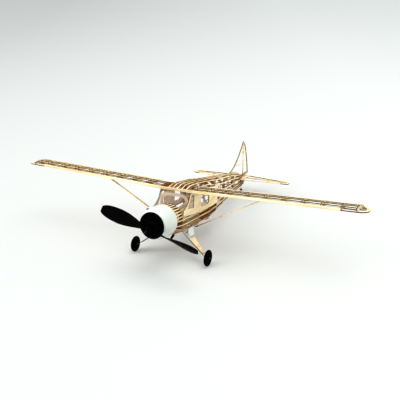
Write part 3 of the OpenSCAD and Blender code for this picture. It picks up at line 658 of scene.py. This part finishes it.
def add_cylinder(mesh, spoke):
    """A finned cylinder out along a spoke, with its rocker boxes, pushrod tubes and head stud."""
    barrel = spoke @ Matrix.Translation((0, CYLINDER_ALONG, 0)) @ Matrix.Rotation(-math.pi / 2, 4, "Z")
    profile = [(0.1, 11.8), (CYLINDER_R, 11.8)]
    for k in range(FINS):
        y = FIRST_FIN + FIN_PITCH * k
        profile += [(CYLINDER_R, y), (FIN_R, y + 0.08), (FIN_R, y + 0.48), (CYLINDER_R, y + 0.56)]
    profile += [(3.0, 20.6), (3.4, 20.9), (3.4, 22.4), (2.6, 23.2), (0.1, 23.3)]
    add_lathe(mesh, barrel, profile, 40)
    for side in (-1, 1):
        # A rocker box on the head and the pushrod tube that leads up to it
        add_box(mesh, spoke, (21.5, 6.0, side * 2.3), (1.5, 1.8, 1.0))
        add_tube(mesh, spoke, (12.0, 4.2, side * 1.3), (20.6, 5.2, side * 2.3), 0.45)
    add_tube(mesh, spoke, (22.6, CYLINDER_ALONG, 0), (23.4, CYLINDER_ALONG, 0), 0.9)


def make_engine(material):
    mesh = bmesh.new()
    add_tub(mesh)
    add_crankcase(mesh)
    step = 2 * math.pi / CYLINDERS
    bolt = [(0.02, 1.5), (0.5, 1.5), (0.6, 1.6), (0.6, 2.6), (0.02, 2.6)]
    for i in range(CYLINDERS):
        spoke = LEVEL @ Matrix.Rotation(math.pi / 2 + step * i, 4, "Y")
        add_cylinder(mesh, spoke)
        # Half a step on, an intake pipe behind and a six-sided bolt on the crankcase's nose
        between = spoke @ Matrix.Rotation(step / 2, 4, "Y")
        add_tube(mesh, between, (12.0, 10.2, 0), (21.5, 10.2, 0), 1.0)
        bolt_place = THRUST @ Matrix.Rotation(step * (i + 0.5), 4, "Y") @ Matrix.Translation((11.5, 0, 0))
        add_lathe(mesh, bolt_place, bolt, 6)
    return new_piece("engine_moulding", mesh, material, AIRFRAME, "engine_black", "dummy_engine")


# ---- Rubber motor ----
HOOK_Y = 56                   # the middle of the hook's ring of wire
HOOK_R = 4
PEG_Y = 259
PEG_R = 2.8
SKEIN_R = 3.1                 # from the shaft's axis to the middle of a twisted strand
SKEIN_START = 70
SKEIN_END = PEG_Y - 13
SKEIN_STEPS = 260
TURNS = 9
STRIP_WIDTH = 3.3
STRIP_THICK = 1.3
PEG_STRIP_WIDTH = 3.2         # strips lie side by side on the peg,
PEG_SPACING = 3.6
HOOK_STRIP_WIDTH = 2.4        # and are crowded together on the hook
HOOK_SPACING = 1.5
LAP = 0.4                     # how far a loop's ends reach into the twisted strands
PEG_GAP = 0.15
HOOK_GAP = 0.1
LOOPS = 3
STRAND_STEP = math.pi / LOOPS               # the angle between two strands of the skein
RANKS = [i - (LOOPS - 1) / 2 for i in range(LOOPS)]     # each loop's place from the middle one


def skein_path(phase):
    """Points and outward normals of one twisted strand about the shaft's axis."""
    path = []
    for i in range(SKEIN_STEPS + 1):
        s = i / SKEIN_STEPS
        a = phase + 2 * math.pi * TURNS * s
        radial = Vector((math.cos(a), 0, math.sin(a)))
        path.append((radial * SKEIN_R + Vector((0, SKEIN_START + (SKEIN_END - SKEIN_START) * s, 0)), radial))
    return path


def strand_run(phase, skein_y, finish, finish_out, steps):
    """Points and outward normals of a strand's way from the skein to one side of the peg or hook."""
    start_out = Vector((math.cos(phase), 0, math.sin(phase)))
    start = start_out * SKEIN_R + Vector((0, skein_y, 0))
    path = []
    for k in range(steps + 1):
        f = ease(k / steps)
        point = start * (1 - f) + finish * f
        point.y = start.y + (finish.y - start.y) * k / steps
        path.append((point, (start_out * (1 - f) + finish_out * f).normalized()))
    return path


def strand_loop(phases, skein_y, centre, radius, side, middle, run_steps, turn_steps):
    """A strand's whole way from the skein, half round the peg or hook, and back to the skein.

    side points from the centre to where the turn begins, and middle to where it is half done.
    """
    path = strand_run(phases[0], skein_y, centre + side * radius, side, run_steps)
    for k in range(1, turn_steps):
        a = math.pi * k / turn_steps
        out = side * math.cos(a) + middle * math.sin(a)
        path.append((centre + out * radius, out))
    return path + strand_run(phases[1], skein_y, centre - side * radius, -side, run_steps)[::-1]


def make_skein(material):
    """Three loops of strip, twisted together, and their turns over the peg and round its back."""
    mesh = bmesh.new()
    for i in range(2 * LOOPS):
        add_ribbon(mesh, THRUST, skein_path(STRAND_STEP * i), STRIP_WIDTH, STRIP_THICK)
    radius = PEG_R + STRIP_THICK / 2 + PEG_GAP
    above, aft = Vector((0, 0, 1)), Vector((0, 1, 0))
    for rank in RANKS:
        # Three neighbouring strands pass over the peg and the other three under it, in order across
        phases = (STRAND_STEP * (1 - rank), STRAND_STEP * (rank - 2))
        centre = Vector((PEG_SPACING * rank, PEG_Y, 0))
        path = strand_loop(phases, SKEIN_END - LAP, centre, radius, above, aft, 14, 16)
        add_ribbon(mesh, THRUST, path, PEG_STRIP_WIDTH, STRIP_THICK)
    skein = new_piece("rubber_skein", mesh, material, None, "rubber_strip", "rubber_motor")
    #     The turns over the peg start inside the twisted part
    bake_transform(skein)


def make_front_loop(material):
    """The strips' turns round the hook's wire, which go round with the shaft."""
    mesh = bmesh.new()
    radius = SHAFT_R + STRIP_THICK / 2 + HOOK_GAP
    port, ahead = Vector((1, 0, 0)), Vector((0, -1, 0))
    for rank in RANKS:
        phases = (STRAND_STEP * rank, math.pi - STRAND_STEP * rank)
        centre = Vector((0, HOOK_Y + HOOK_R, HOOK_SPACING * rank))
        path = strand_loop(phases, SKEIN_START + LAP, centre, radius, port, ahead, 10, 12)
        add_ribbon(mesh, THRUST, path, HOOK_STRIP_WIDTH, STRIP_THICK)
    new_piece("rubber_front_loop", mesh, material, AIRSCREW, "rubber_strip")


# ---- Windscreen ----
def make_windscreen(material):
    """The CAD shell drawn again with its facets joined and shaded as one curved surface."""
    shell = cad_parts["windscreen"]
    mesh = bmesh.new()
    mesh.from_mesh(shell.data)
    bmesh.ops.transform(mesh, matrix=shell.matrix_world, verts=mesh.verts)
    bmesh.ops.remove_doubles(mesh, verts=mesh.verts, dist=0.02 * MM)
    new_piece("windscreen_shell", mesh, material, AIRFRAME, "clear_plastic", "windscreen")


def main():
    make_camera()
    make_light()
    make_floor()
    finishes = finish_cad()
    make_propeller(finishes["propeller"])
    make_engine(finishes["dummy_engine"])
    make_skein(finishes["rubber_motor"])
    make_front_loop(finishes["rubber_motor"])
    make_windscreen(finishes["windscreen"])


main()
